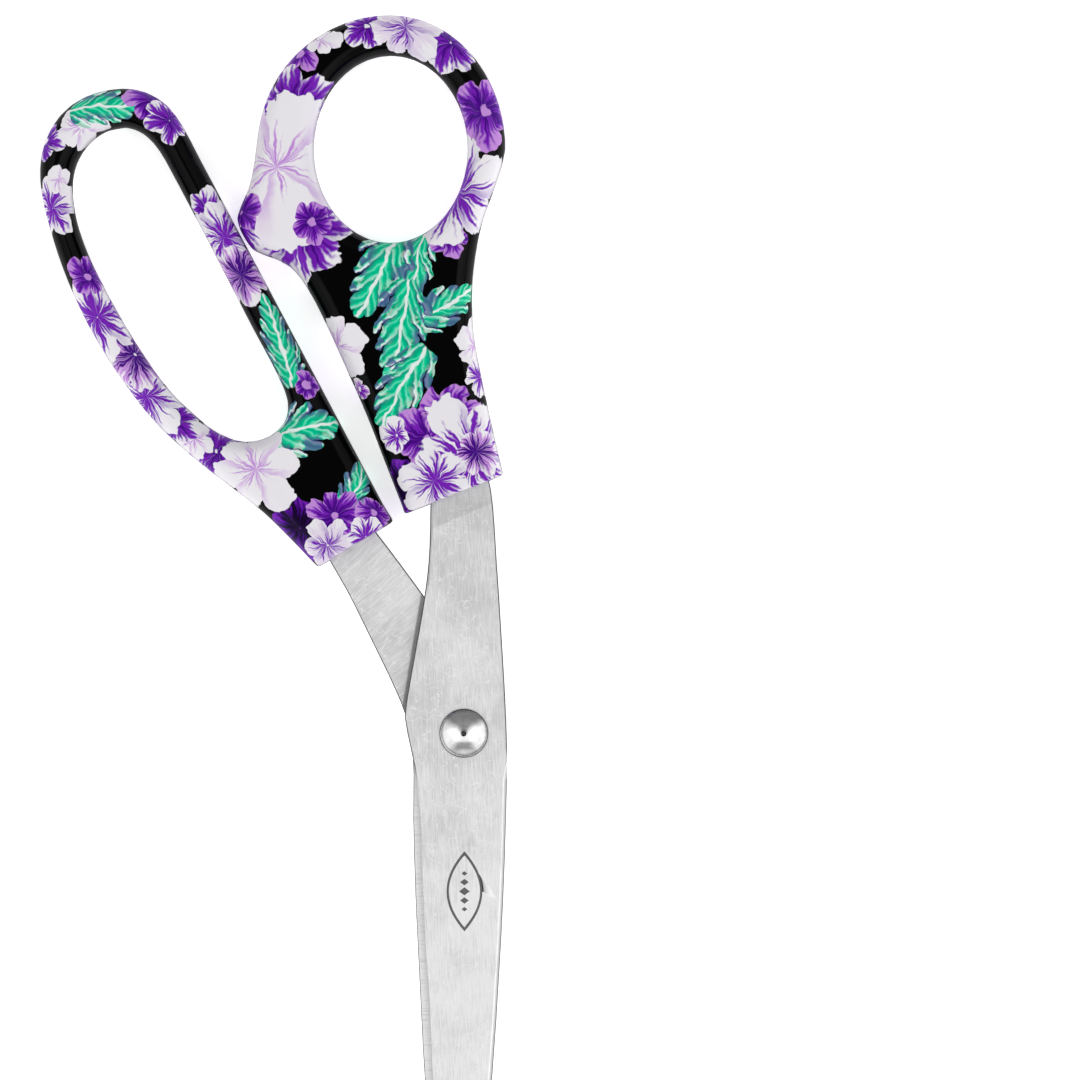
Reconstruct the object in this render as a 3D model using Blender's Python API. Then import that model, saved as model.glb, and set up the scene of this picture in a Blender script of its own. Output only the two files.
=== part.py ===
"""Fabric shears: two riveted steel blades with moulded plastic handles, lying closed and flat.

Row frame: origin on the pivot axis at the plane that the shears lie on, +Z up, +Y from the
pivot towards the handles. The thumb half is the upper layer, the finger half the lower one.
Outlines are in millimetres, as a pattern maker would note them; meshes are in metres.
"""

import math

import bmesh
import bpy
from mathutils import Vector

MM = 0.001

# Driving dimensions, in millimetres
BLADE_THICKNESS = 2.2
BLADE_GAP = 0.5
HANDLE_THICKNESS = 9.2
SHOULDER = 2.85
WASHER_PLAY = 0.1
POCKET_PLAY = 0.3

MIDDLE = HANDLE_THICKNESS / 2
LOWER_BOTTOM = MIDDLE - BLADE_GAP / 2 - BLADE_THICKNESS
LOWER_TOP = MIDDLE - BLADE_GAP / 2
UPPER_BOTTOM = MIDDLE + BLADE_GAP / 2
UPPER_TOP = MIDDLE + BLADE_GAP / 2 + BLADE_THICKNESS

# Pivot, in millimetres
SHANK_RADIUS = 2.45
PIVOT_HOLE_RADIUS = SHANK_RADIUS + 0.08
HEAD_RADIUS = 4.5
HEAD_RIM = 0.25
DOME_HEIGHT = 2.05
DIMPLE_RADIUS = 0.5
DIMPLE_DEPTH = 0.3
TAIL_RADIUS = 3.3
TAIL_THICKNESS = 0.6
TAIL_FILLET = 0.25
BURR_RADIUS = 4.3
BURR_CHAMFER = 0.3
THRUST_WASHER_RADIUS = 6.0
SPRING_WASHER_RADIUS = 4.6
SPRING_WASHER_STOCK = 0.25
SPRING_WASHER_WAVE = 0.08

# Cutting edges: how far the ground bevel reaches in from the edge, in plan
EDGE_BEVEL = 0.6

# Smoothness of the faceted solids
OUTLINE_STEP = 2.4
BLADE_STEP = 3.5
SHOULDER_STEPS = 8
ROUND_SEGMENTS = 48

# Thumb half. The ring of the thumb handle is an oval hole in a half-oval crown.
THUMB_HOLE_CENTRE = (-13.6, 108.1)
THUMB_HOLE_SEMI_AXES = (14.2, 17.3)
THUMB_CROWN_RIGHT = 21.3
THUMB_CROWN_LEFT = 24.8
THUMB_CROWN_TOP = 24.9

# The stop flat runs beside the straight side of the finger handle.
THUMB_LEFT_SIDE = [
    (-39.1, 104.6),
    (-40.0, 100.7),
    (-41.4, 97.6),
    (-42.2, 95.3),
    (-41.6, 93.2),
    (-40.45, 91.1),
    (-39.2, 89.4),
    (-37.0, 88.4),
    (-34.6, 87.6),
    (-32.0, 86.1),
    (-28.9, 82.0),
    (-26.4, 77.3),
    (-22.2, 68.1),
    (-18.1, 58.8),
    (-14.6, 49.8),
    (-11.4, 41.6),
    (-9.2, 35.8),
]
THUMB_RIGHT_SIDE = [
    (9.9, 36.5),
    (8.6, 42.2),
    (7.2, 48.4),
    (4.8, 58.8),
    (3.0, 67.2),
    (1.9, 73.6),
    (1.5, 80.1),
    (1.9, 86.6),
    (3.3, 94.0),
    (5.4, 100.0),
    (7.0, 104.6),
]
THUMB_MOUTH = [(-10.9, 40.5), (7.3, 47.7)]

THUMB_CUTTING_EDGE = [
    (0.35, -119.4),
    (2.3, -100.0),
    (3.9, -82.0),
    (5.3, -63.8),
    (6.5, -46.0),
    (7.3, -31.0),
    (7.8, -17.0),
    (8.0, -5.0),
]
THUMB_SHANK_RIGHT = [(7.7, 5.0), (7.0, 17.2), (6.1, 31.1), (5.0, 45.0), (3.2, 52.0)]
THUMB_TANG_END = [(-5.0, 78.5), (-6.4, 81.6), (-9.4, 82.4), (-12.2, 81.0), (-12.6, 77.8)]
THUMB_SHANK_LEFT = [
    (-8.6, 57.0),
    (-6.3, 49.0),
    (-6.2, 41.5),
    (-6.5, 32.0),
    (-7.3, 25.2),
    (-9.2, 14.2),
    (-10.7, 5.6),
    (-10.95, 3.0),
    (-10.4, -0.2),
]
THUMB_SPINE = [
    (-9.1, -6.3),
    (-8.0, -15.0),
    (-7.7, -24.0),
    (-7.1, -37.9),
    (-6.3, -50.0),
    (-5.7, -64.0),
    (-4.5, -84.0),
    (-3.2, -103.0),
    (-1.9, -119.2),
]
THUMB_REST = THUMB_SHANK_RIGHT + THUMB_TANG_END + THUMB_SHANK_LEFT + THUMB_SPINE
THUMB_ANCHORS = [(-4.2, 57.5), (-7.6, 71.0)]

# Finger half
FINGER_OUTLINE = [
    (-63.3, 119.4),
    (-58.9, 118.7),
    (-54.9, 116.2),
    (-52.0, 112.2),
    (-49.3, 107.1),
    (-40.6, 90.7),
    (-27.3, 65.6),
    (-15.0, 42.4),
    (-9.7, 32.4),
    (-20.4, 24.6),
    (-26.9, 30.4),
    (-32.1, 35.8),
    (-36.8, 40.4),
    (-42.6, 45.0),
    (-50.3, 51.0),
    (-57.4, 57.6),
    (-64.2, 66.4),
    (-69.6, 75.3),
    (-73.7, 84.2),
    (-76.7, 93.1),
    (-78.3, 99.7),
    (-78.6, 104.6),
    (-77.7, 109.4),
    (-74.9, 114.3),
    (-70.3, 117.8),
]
FINGER_HOLE = [
    (-62.7, 112.1),
    (-66.0, 111.5),
    (-69.3, 109.2),
    (-71.7, 105.6),
    (-72.5, 101.5),
    (-71.9, 95.6),
    (-69.6, 88.6),
    (-65.1, 79.7),
    (-59.9, 70.9),
    (-55.3, 64.4),
    (-51.0, 59.9),
    (-45.4, 55.5),
    (-40.6, 53.9),
    (-36.2, 54.9),
    (-33.2, 57.7),
    (-32.7, 61.3),
    (-34.6, 66.2),
    (-39.4, 75.3),
    (-44.1, 84.4),
    (-49.7, 95.2),
    (-54.3, 103.9),
    (-56.6, 107.9),
    (-59.3, 110.8),
]
FINGER_MOUTH = [(-27.0, 30.6), (-13.5, 38.9)]

FINGER_CUTTING_EDGE = [
    (-9.6, -4.0),
    (-9.5, -16.0),
    (-9.1, -30.0),
    (-8.4, -44.8),
    (-7.5, -62.0),
    (-5.9, -83.0),
    (-4.2, -102.0),
    (-2.5, -118.8),
]
FINGER_SPINE = [
    (-0.3, -119.0),
    (1.3, -102.0),
    (3.0, -82.0),
    (4.3, -63.8),
    (5.3, -46.0),
    (6.0, -30.0),
    (6.4, -14.0),
    (6.4, -4.0),
]
FINGER_SHANK_RIGHT = [
    (5.6, 3.8),
    (3.2, 9.6),
    (-1.9, 17.4),
    (-7.4, 25.2),
    (-16.3, 37.1),
    (-22.0, 44.0),
]
FINGER_TANG_END = [(-26.6, 50.6), (-29.0, 52.4), (-31.6, 51.6), (-32.6, 49.0)]
FINGER_SHANK_LEFT = [
    (-30.2, 42.4),
    (-24.9, 31.8),
    (-21.8, 26.4),
    (-17.2, 17.2),
    (-12.9, 8.2),
    (-10.9, 3.2),
]
FINGER_REST = FINGER_SPINE + FINGER_SHANK_RIGHT + FINGER_TANG_END + FINGER_SHANK_LEFT
FINGER_ANCHORS = [(-24.7, 41.6)]
ANCHOR_RADIUS = 1.9


def material(name, colour, metallic, roughness):
    made = bpy.data.materials.new(name)
    made.use_nodes = True
    shader = made.node_tree.nodes["Principled BSDF"]
    shader.inputs["Base Color"].default_value = (*colour, 1.0)
    shader.inputs["Metallic"].default_value = metallic
    shader.inputs["Roughness"].default_value = roughness
    return made


def object_from(bm, name, finish=None):
    """An object at the scene's origin from a bmesh in millimetres."""
    bmesh.ops.scale(bm, vec=(MM, MM, MM), verts=bm.verts)
    bmesh.ops.recalc_face_normals(bm, faces=bm.faces)
    mesh = bpy.data.meshes.new(name)
    bm.to_mesh(mesh)
    bm.free()
    if finish:
        mesh.materials.append(finish)
    mesh.shade_smooth()
    mesh.set_sharp_from_angle(angle=math.radians(30))
    made = bpy.data.objects.new(name, mesh)
    bpy.context.scene.collection.objects.link(made)
    return made


def cutter(bm, name):
    made = object_from(bm, name)
    made.hide_render = True
    made.display_type = "WIRE"
    return made


def cut(target, tool):
    boolean = target.modifiers.new(tool.name, "BOOLEAN")
    boolean.operation = "DIFFERENCE"
    boolean.solver = "EXACT"
    boolean.object = tool


def smooth_loop(points, step):
    """Points about one step apart on a closed centripetal Catmull-Rom curve through the given ones."""
    points = [Vector(p) for p in points]
    count = len(points)
    made = []
    for i in range(count):
        a, b, c, d = (points[(i + k) % count] for k in (-1, 0, 1, 2))
        knots = [0.0]
        for p, q in ((a, b), (b, c), (c, d)):
            knots.append(knots[-1] + math.sqrt((q - p).length))
        pieces = max(1, round((c - b).length / step))
        for k in range(pieces):
            t = knots[1] + (knots[2] - knots[1]) * k / pieces
            made.append(catmull_rom(a, b, c, d, knots, t))
    return made


def catmull_rom(a, b, c, d, knots, t):
    k0, k1, k2, k3 = knots
    ab = a.lerp(b, (t - k0) / (k1 - k0))
    bc = b.lerp(c, (t - k1) / (k2 - k1))
    cd = c.lerp(d, (t - k2) / (k3 - k2))
    abc = ab.lerp(bc, (t - k0) / (k2 - k0))
    bcd = bc.lerp(cd, (t - k1) / (k3 - k1))
    return abc.lerp(bcd, (t - k1) / (k2 - k1))


def oval(centre, semi_axes, start, end, steps):
    """Points on an ellipse, from the start angle up to but not including the end angle, in degrees."""
    made = []
    for k in range(steps):
        angle = math.radians(start + (end - start) * k / steps)
        x = centre[0] + semi_axes[0] * math.cos(angle)
        y = centre[1] + semi_axes[1] * math.sin(angle)
        made.append((x, y))
    return made


def inward(loop, distance):
    """The loop moved to its left, which is into the material, by the distance."""
    made = []
    for i, point in enumerate(loop):
        along = (loop[(i + 1) % len(loop)] - loop[i - 1]).normalized()
        made.append(point + Vector((-along.y, along.x)) * distance)
    return made


def add_rows(bm, rows):
    """Quads between successive closed rows of points, each row being (loop, height)."""
    rings = [[bm.verts.new((p.x, p.y, z)) for p in loop] for loop, z in rows]
    for lower, upper in zip(rings, rings[1:]):
        for i in range(len(lower)):
            bm.faces.new((lower[i - 1], lower[i], upper[i], upper[i - 1]))
    return rings


def cap(bm, rings):
    """Fills the flat region between the given rings of vertices."""
    edges = []
    for ring in rings:
        edges += [bm.edges.get((ring[i - 1], ring[i])) for i in range(len(ring))]
    bmesh.ops.triangle_fill(bm, use_beauty=True, edges=edges)


def prism(loop, bottom, top):
    """A straight-sided solid on one outline."""
    bm = bmesh.new()
    rings = add_rows(bm, [(loop, bottom), (loop, top)])
    for ring in rings:
        cap(bm, [ring])
    return bm


def pillow(outline, hole):
    """The handle's body: elliptical shoulders all round, and a flat top and underside."""
    profile = []
    for k in range(SHOULDER_STEPS + 1):
        angle = math.pi * (k / SHOULDER_STEPS - 0.5)
        height = MIDDLE + MIDDLE * math.sin(angle)
        profile.append((SHOULDER * (1 - math.cos(angle)), height))
    bm = bmesh.new()
    outer = add_rows(bm, [(inward(outline, inset), z) for inset, z in profile])
    inner = add_rows(bm, [(inward(hole, inset), z) for inset, z in profile])
    cap(bm, [outer[0], inner[0]])
    cap(bm, [outer[-1], inner[-1]])
    return bm


def beyond(line, reach):
    """A block that takes away everything past a mouth line, for cutting the handle's end."""
    start, end = (Vector(p) for p in line)
    along = (end - start).normalized()
    away = Vector((along.y, -along.x))
    start -= along * reach
    end += along * reach
    corners = [start, start + away * reach, end + away * reach, end]
    return prism(corners, -MIDDLE, HANDLE_THICKNESS + MIDDLE)


def round_bar(centre, radius, bottom, top):
    loop = oval(centre, (radius, radius), 0, 360, ROUND_SEGMENTS)
    return prism([Vector(p) for p in loop], bottom, top)


def turned(profile):
    """A solid turned about the pivot axis from a profile that is closed, or ends on the axis."""
    bm = bmesh.new()
    verts = [bm.verts.new((r, 0, z)) for r, z in profile]
    edges = [bm.edges.new(pair) for pair in zip(verts, verts[1:])]
    bmesh.ops.spin(
        bm,
        geom=verts + edges,
        cent=(0, 0, 0),
        axis=(0, 0, 1),
        angle=math.tau,
        steps=ROUND_SEGMENTS,
        use_merge=True,
    )
    bmesh.ops.remove_doubles(bm, verts=bm.verts, dist=1e-4)
    return bm


def ground_blade(edge, rest, flat, ground):
    """A blade between its flat and its ground side, which stops short of the cutting edge.

    The outline starts with the cutting edge, so the edge's points are the loop's first ones.
    """
    loop = smooth_loop(edge + rest, BLADE_STEP)
    edge_end = min(range(len(loop)), key=lambda i: (loop[i] - Vector(edge[-1])).length)
    shifted = inward(loop, EDGE_BEVEL)
    ground_loop = [shifted[i] if 0 < i < edge_end else point for i, point in enumerate(loop)]
    bm = bmesh.new()
    rings = add_rows(bm, [(loop, flat), (ground_loop, ground)])
    for ring in rings:
        cap(bm, [ring])
    return bm


def drill(blade, anchors, bottom, top):
    """Cuts the pivot hole and the tang's anchor holes."""
    margin = 1.0
    holes = [((0.0, 0.0), PIVOT_HOLE_RADIUS)] + [(a, ANCHOR_RADIUS) for a in anchors]
    for number, (centre, radius) in enumerate(holes):
        bar = round_bar(centre, radius, bottom - margin, top + margin)
        cut(blade, cutter(bar, f"{blade.name}_drill_{number}"))


def pocket(handle, tang, anchors, bottom, top):
    """Cuts the tang's pocket, leaving a peg of plastic through each anchor hole."""
    loop = inward(smooth_loop(tang, BLADE_STEP), -POCKET_PLAY)
    tool = cutter(prism(loop, bottom - POCKET_PLAY, top + POCKET_PLAY), f"{handle.name}_pocket")
    for number, centre in enumerate(anchors):
        peg = round_bar(centre, ANCHOR_RADIUS - POCKET_PLAY, bottom - 1, top + 1)
        cut(tool, cutter(peg, f"{handle.name}_peg_{number}"))
    cut(handle, tool)


def thumb_blade(steel):
    """The upper blade. Its cutting edge is on +X, on its underside."""
    bm = ground_blade(THUMB_CUTTING_EDGE, THUMB_REST, UPPER_BOTTOM, UPPER_TOP)
    blade = object_from(bm, "thumb_blade", steel)
    drill(blade, THUMB_ANCHORS, UPPER_BOTTOM, UPPER_TOP)


def finger_blade(steel):
    """The lower blade. Its cutting edge is on -X, on its top side."""
    bm = ground_blade(FINGER_CUTTING_EDGE, FINGER_REST, LOWER_TOP, LOWER_BOTTOM)
    blade = object_from(bm, "finger_blade", steel)
    drill(blade, FINGER_ANCHORS, LOWER_BOTTOM, LOWER_TOP)


def thumb_handle(plastic):
    centre = THUMB_HOLE_CENTRE
    right_crown = oval(centre, (THUMB_CROWN_RIGHT, THUMB_CROWN_TOP), 0, 90, 6)
    left_crown = oval(centre, (THUMB_CROWN_LEFT, THUMB_CROWN_TOP), 90, 180, 7)
    outline = smooth_loop(right_crown + left_crown + THUMB_LEFT_SIDE + THUMB_RIGHT_SIDE, OUTLINE_STEP)
    hole = [Vector(p) for p in oval(centre, THUMB_HOLE_SEMI_AXES, 360, 0, 40)]
    handle = object_from(pillow(outline, hole), "thumb_handle", plastic)
    cut(handle, cutter(beyond(THUMB_MOUTH, 30), "thumb_handle_mouth"))
    pocket(handle, THUMB_CUTTING_EDGE + THUMB_REST, THUMB_ANCHORS, UPPER_BOTTOM, UPPER_TOP)


def finger_handle(plastic):
    outline = smooth_loop(FINGER_OUTLINE[::-1], OUTLINE_STEP)
    hole = smooth_loop(FINGER_HOLE[::-1], OUTLINE_STEP)
    handle = object_from(pillow(outline, hole), "finger_handle", plastic)
    cut(handle, cutter(beyond(FINGER_MOUTH, 30), "finger_handle_mouth"))
    pocket(handle, FINGER_CUTTING_EDGE + FINGER_REST, FINGER_ANCHORS, LOWER_BOTTOM, LOWER_TOP)


def pivot_rivet(steel):
    """A domed head above the upper blade, a shank, and a tail peened flat at the underside."""
    seat = UPPER_TOP + WASHER_PLAY
    rim = seat + HEAD_RIM
    dome_radius = (HEAD_RADIUS**2 + DOME_HEIGHT**2) / (2 * DOME_HEIGHT)
    dome_centre = rim + DOME_HEIGHT - dome_radius
    profile = [(0, rim + DOME_HEIGHT - DIMPLE_DEPTH)]
    start = math.asin(DIMPLE_RADIUS / dome_radius)
    end = math.asin(HEAD_RADIUS / dome_radius)
    arc_steps = 7
    for k in range(arc_steps + 1):
        angle = start + (end - start) * k / arc_steps
        profile.append((dome_radius * math.sin(angle), dome_centre + dome_radius * math.cos(angle)))
    profile += [
        (HEAD_RADIUS, seat),
        (SHANK_RADIUS, seat),
        (SHANK_RADIUS, TAIL_THICKNESS),
        (TAIL_RADIUS, TAIL_THICKNESS),
        (TAIL_RADIUS, TAIL_FILLET),
        (TAIL_RADIUS - TAIL_FILLET, 0),
        (0, 0),
    ]
    object_from(turned(profile), "pivot_rivet", steel)


def ring(outer, bottom, top, chamfer=0.0):
    """A closed profile of a ring that clears the rivet's shank, with its lower outer edge broken."""
    profile = [(PIVOT_HOLE_RADIUS, bottom), (PIVOT_HOLE_RADIUS, top), (outer, top)]
    if chamfer:
        profile.append((outer, bottom + chamfer))
    return profile + [(outer - chamfer, bottom), profile[0]]


def thrust_washer(brass):
    """The thin ring between the blades."""
    profile = ring(THRUST_WASHER_RADIUS, LOWER_TOP + WASHER_PLAY, UPPER_BOTTOM - WASHER_PLAY)
    object_from(turned(profile), "thrust_washer", brass)


def spring_washer(steel):
    """A three-lobed wave washer under the lower blade, which draws the blades together."""
    lobes = 3
    crest = LOWER_BOTTOM - WASHER_PLAY - SPRING_WASHER_WAVE
    bm = turned(ring(SPRING_WASHER_RADIUS, crest - SPRING_WASHER_STOCK, crest))
    for vert in bm.verts:
        vert.co.z += SPRING_WASHER_WAVE * math.cos(lobes * math.atan2(vert.co.y, vert.co.x))
    object_from(bm, "spring_washer", steel)


def rivet_burr(steel):
    """The collar that the rivet's tail is peened over."""
    spring_room = 2 * WASHER_PLAY + SPRING_WASHER_STOCK + 2 * SPRING_WASHER_WAVE
    profile = ring(BURR_RADIUS, TAIL_THICKNESS + WASHER_PLAY, LOWER_BOTTOM - spring_room, BURR_CHAMFER)
    object_from(turned(profile), "rivet_burr", steel)


def build():
    for old in list(bpy.data.objects):
        bpy.data.objects.remove(old)
    steel = material("blade_steel", (0.72, 0.72, 0.73), 1.0, 0.32)
    bright = material("rivet_steel", (0.80, 0.80, 0.81), 1.0, 0.08)
    spring = material("spring_steel", (0.55, 0.55, 0.57), 1.0, 0.35)
    brass = material("washer_brass", (0.78, 0.60, 0.28), 1.0, 0.35)
    plastic = material("handle_plastic", (0.03, 0.03, 0.035), 0.0, 0.12)
    thumb_blade(steel)
    finger_blade(steel)
    thumb_handle(plastic)
    finger_handle(plastic)
    pivot_rivet(bright)
    thrust_washer(brass)
    spring_washer(spring)
    rivet_burr(bright)


build()
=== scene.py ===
"""Looks for the fabric shears: moulded handles with a floral print, ground steel blades, a polished rivet."""

import math

import bmesh
import bpy
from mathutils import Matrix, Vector


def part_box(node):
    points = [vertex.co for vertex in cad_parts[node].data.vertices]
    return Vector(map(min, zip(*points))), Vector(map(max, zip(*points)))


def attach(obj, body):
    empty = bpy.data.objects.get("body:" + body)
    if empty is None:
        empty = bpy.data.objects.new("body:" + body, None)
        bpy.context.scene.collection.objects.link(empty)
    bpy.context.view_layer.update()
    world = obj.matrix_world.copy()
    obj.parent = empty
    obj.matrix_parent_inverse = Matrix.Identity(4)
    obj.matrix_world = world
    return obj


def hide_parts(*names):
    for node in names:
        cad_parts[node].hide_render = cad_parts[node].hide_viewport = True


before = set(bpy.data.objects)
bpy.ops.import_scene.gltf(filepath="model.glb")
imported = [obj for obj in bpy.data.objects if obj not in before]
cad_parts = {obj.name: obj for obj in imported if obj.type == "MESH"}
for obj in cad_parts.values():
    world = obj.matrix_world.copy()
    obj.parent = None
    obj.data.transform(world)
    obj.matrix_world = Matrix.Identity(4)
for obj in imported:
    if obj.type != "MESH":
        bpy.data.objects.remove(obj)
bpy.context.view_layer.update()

MM = 0.001
THUMB = "thumb_half"
FINGER = "finger_half"

# All sizes and places below are in millimetres, unless they are multiplied by MM

# The radius of the handles' rounded shoulders, round which the print is wrapped
SHOULDER_RADIUS = 3.0

# The fine mesh of a handle's skin
HANDLE_VOXEL = 0.38 * MM
HANDLE_SMOOTHING = 14

# The flat on each sharp edge of a blade
LAND = 0.20 * MM

# The mark on the upper blade: a pointed oval outline round a row of diamonds
MARK_CENTRE = (0.1, -29.2)
MARK_HALF_LENGTH = 7.4
MARK_HALF_WIDTH = 3.3
MARK_LINE = 0.42
MARK_DEPTH = 0.10
MARK_MARGIN = 0.3
DIAMONDS = ((-3.3, 0.55), (-1.7, 0.8), (0, 1.0), (1.7, 0.8), (3.3, 0.55))

# The rivet: its head's rim, the punch mark in its crown, its shank and the tail peened over the burr
RIM_HEIGHT = 0.28
PUNCH_RADIUS = 0.48
PUNCH_DEPTH = 0.34
SHANK_RADIUS = 2.45
TAIL_RADIUS = 3.3
TAIL_TOP = 0.6

# The hole in the burr and both washers
BORE_RADIUS = 2.53


def box_mm(node):
    low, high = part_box(node)
    return Vector(low) / MM, Vector(high) / MM


# ---------------------------------------------------------------------------------------------
# Materials: fields are numbers or vectors that a material computes at each point
# ---------------------------------------------------------------------------------------------


class Field:
    """A value computed by a node tree, which ordinary operators combine."""

    def __init__(self, tree, socket):
        self.tree = tree
        self.socket = socket

    def __add__(self, other):
        return maths(self.tree, "ADD", self, other)

    def __sub__(self, other):
        return maths(self.tree, "SUBTRACT", self, other)

    def __rsub__(self, other):
        return maths(self.tree, "SUBTRACT", other, self)

    def __mul__(self, other):
        return maths(self.tree, "MULTIPLY", self, other)

    def __truediv__(self, other):
        return maths(self.tree, "DIVIDE", self, other)

    def __pow__(self, other):
        return maths(self.tree, "POWER", self, other)

    __radd__ = __add__
    __rmul__ = __mul__


def feed(tree, target, value):
    """Links a field to a socket, or sets the socket to a plain value."""
    if isinstance(value, Field):
        tree.links.new(value.socket, target)
    elif isinstance(value, tuple) and len(value) == 3 and target.type == "RGBA":
        target.default_value = (*value, 1.0)
    else:
        target.default_value = value


def maths(tree, operation, *values):
    node = tree.nodes.new("ShaderNodeMath")
    node.operation = operation
    for target, value in zip(node.inputs, values):
        feed(tree, target, value)
    return Field(tree, node.outputs[0])


def vector_maths(tree, operation, *values):
    """Vector arithmetic. DOT_PRODUCT and LENGTH give a number, the others a vector."""
    node = tree.nodes.new("ShaderNodeVectorMath")
    node.operation = operation
    inputs = [node.inputs["Vector"], node.inputs[1]]
    if operation == "SCALE":
        inputs = [node.inputs["Vector"], node.inputs["Scale"]]
    for target, value in zip(inputs, values):
        feed(tree, target, value)
    number = operation in ("DOT_PRODUCT", "LENGTH")
    return Field(tree, node.outputs["Value" if number else "Vector"])


def ramp(value, low, high):
    """0 below low, 1 above high, with a smooth step between."""
    tree = value.tree
    node = tree.nodes.new("ShaderNodeMapRange")
    node.interpolation_type = "SMOOTHSTEP"
    node.clamp = False  # a smooth step needs no clamp, and one each would make the print too big
    feed(tree, node.inputs["Value"], value)
    feed(tree, node.inputs["From Min"], low)
    feed(tree, node.inputs["From Max"], high)
    return Field(tree, node.outputs["Result"])


def combine(tree, x, y, z=0.0):
    node = tree.nodes.new("ShaderNodeCombineXYZ")
    for target, value in zip(node.inputs, (x, y, z)):
        feed(tree, target, value)
    return Field(tree, node.outputs[0])


def split(vector):
    tree = vector.tree
    node = tree.nodes.new("ShaderNodeSeparateXYZ")
    feed(tree, node.inputs[0], vector)
    return [Field(tree, output) for output in node.outputs]


def blend(tree, amount, first, second):
    """The first colour where amount is 0, the second where it is 1."""
    node = tree.nodes.new("ShaderNodeMix")
    node.data_type = "RGBA"
    feed(tree, node.inputs[0], amount)
    feed(tree, node.inputs[6], first)
    feed(tree, node.inputs[7], second)
    return Field(tree, node.outputs[2])


def colour_ramp(tree, value, stops):
    node = tree.nodes.new("ShaderNodeValToRGB")
    elements = node.color_ramp.elements
    for number, (position, shade) in enumerate(stops):
        stop = elements[number] if number < 2 else elements.new(position)
        stop.position = position
        stop.color = (*shade, 1.0)
    feed(tree, node.inputs[0], value)
    return Field(tree, node.outputs[0])


def noise(vector, scale=1.0, detail=2.0, roughness=0.5, colour=False):
    tree = vector.tree
    node = tree.nodes.new("ShaderNodeTexNoise")
    feed(tree, node.inputs["Vector"], vector)
    node.inputs["Scale"].default_value = scale
    node.inputs["Detail"].default_value = detail
    node.inputs["Roughness"].default_value = roughness
    return Field(tree, node.outputs["Color" if colour else 0])


def colour(code):
    """A colour written as sRGB hex digits, in the linear values that shaders take."""
    channels = [int(code[i : i + 2], 16) / 255 for i in (0, 2, 4)]
    return tuple(c / 12.92 if c < 0.04045 else ((c + 0.055) / 1.055) ** 2.4 for c in channels)


def new_material(name):
    made = bpy.data.materials.new(name)
    made.use_nodes = True
    return made, made.node_tree, made.node_tree.nodes["Principled BSDF"]


def place_mm(tree):
    """Where a point is on its piece, in millimetres, so that the pattern moves with the piece."""
    node = tree.nodes.new("ShaderNodeTexCoord")
    place = Field(tree, node.outputs["Object"])
    return vector_maths(tree, "SCALE", place, 1 / MM), Field(tree, node.outputs["Normal"])


def bump(tree, shader, height, distance, strength=1.0, sockets=("Normal",)):
    """Raises the surface by height times distance, in metres."""
    node = tree.nodes.new("ShaderNodeBump")
    node.inputs["Strength"].default_value = strength
    node.inputs["Distance"].default_value = distance
    feed(tree, node.inputs["Height"], height)
    for name in sockets:
        tree.links.new(node.outputs["Normal"], shader.inputs[name])


# ---------------------------------------------------------------------------------------------
# The floral print
# ---------------------------------------------------------------------------------------------

BLACK = colour("040405")
# the dark colour painted round the handles' sides as shade
SIDE_SHADE = colour("150c1c")
WHITE = colour("f8f5fa")
BLUSH = colour("eee2f4")
LILAC = colour("cc94e4")
PURPLE = colour("7c24bc")
VIOLET = colour("4a0c88")
INDIGO = colour("1a0830")
EMERALD = colour("02785c")
JADE = colour("00d8a0")
MINT = colour("aefcea")
FROST = colour("f2fcf9")
SLATE = colour("4f6498")
NAVY = colour("1c2860")

# Each kind of flower: its edge, body and deep colours, how far the deep streaks reach, and its
# heart's radius in millimetres
FLOWER_KINDS = {
    "white": (WHITE, WHITE, LILAC, 0.02, 0.0),
    "lily": (WHITE, WHITE, PURPLE, 0.42, 0.0),
    "pale": (WHITE, BLUSH, PURPLE, 0.12, 0.0),
    "ruffled": (WHITE, PURPLE, VIOLET, 0.20, 0.35),
    "purple": (LILAC, PURPLE, VIOLET, 0.35, 0.6),
    "peony": (WHITE, LILAC, VIOLET, 0.36, 0.0),
    "heart": (WHITE, LILAC, PURPLE, 0.40, 0.5),
    "shade": (PURPLE, VIOLET, INDIGO, 0.45, 0.0),
}

# Across a lobe of a leaf, from one notch to the next
LOBE_COLOURS = [
    (0.00, NAVY),
    (0.10, EMERALD),
    (0.26, JADE),
    (0.36, MINT),
    (0.43, JADE),
    (0.58, EMERALD),
    (0.68, JADE),
    (0.76, MINT),
    (0.80, FROST),
    (0.88, FROST),
    (0.92, SLATE),
    (1.00, NAVY),
]


def group(name, inputs, outputs):
    """An empty node group, and its inputs as fields."""
    tree = bpy.data.node_groups.new(name, "ShaderNodeTree")
    kinds = {"number": "NodeSocketFloat", "vector": "NodeSocketVector", "colour": "NodeSocketColor"}
    for label, kind in inputs:
        tree.interface.new_socket(label, in_out="INPUT", socket_type=kinds[kind])
    for label, kind in outputs:
        tree.interface.new_socket(label, in_out="OUTPUT", socket_type=kinds[kind])
    entry = tree.nodes.new("NodeGroupInput")
    return tree, {label: Field(tree, entry.outputs[label]) for label, _ in inputs}


def close_group(tree, values):
    leave = tree.nodes.new("NodeGroupOutput")
    for label, value in values.items():
        feed(tree, leave.inputs[label], value)


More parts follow.
